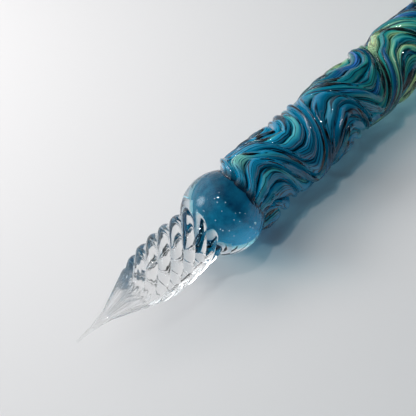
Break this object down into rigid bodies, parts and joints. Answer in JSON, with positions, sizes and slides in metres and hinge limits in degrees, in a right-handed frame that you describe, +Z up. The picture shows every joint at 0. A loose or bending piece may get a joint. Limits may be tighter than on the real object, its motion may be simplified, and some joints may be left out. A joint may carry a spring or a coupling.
{
  "type": "dip pen",
  "caption": "Glass dip pen lying on its side: twisted fluted clear nib, cased blue collar bead, handle of zigzag-twisted ridge canes and a tail bead.",
  "frame": {"origin": "centre of the pen's bounding box, on the surface it lies on", "axes": "X along the pen's axis, nib towards -X and tail bead towards +X; +Z up, away from the surface; Y across"},
  "size_m": [0.165, 0.0122, 0.0122],
  "materials": {
    "clear_glass": "gloss",
    "blue_glass": "gloss",
    "teal_glass": "gloss",
    "ridge_glass": "gloss"
  },
  "bodies": {
    "root": {"nib": "clear_glass", "collar_bead_core": "blue_glass", "collar_bead_casing": "clear_glass", "core_rod": "clear_glass", "color_layer": "teal_glass", "tail_bead": "blue_glass", "ridge_cane_01": "ridge_glass", "ridge_cane_02": "ridge_glass", "ridge_cane_03": "ridge_glass", "ridge_cane_04": "ridge_glass", "ridge_cane_05": "ridge_glass", "ridge_cane_06": "ridge_glass", "ridge_cane_07": "ridge_glass", "ridge_cane_08": "ridge_glass", "ridge_cane_09": "ridge_glass", "ridge_cane_10": "ridge_glass", "ridge_cane_11": "ridge_glass", "ridge_cane_12": "ridge_glass", "ridge_cane_13": "ridge_glass", "ridge_cane_14": "ridge_glass"}
  },
  "joints": []
}
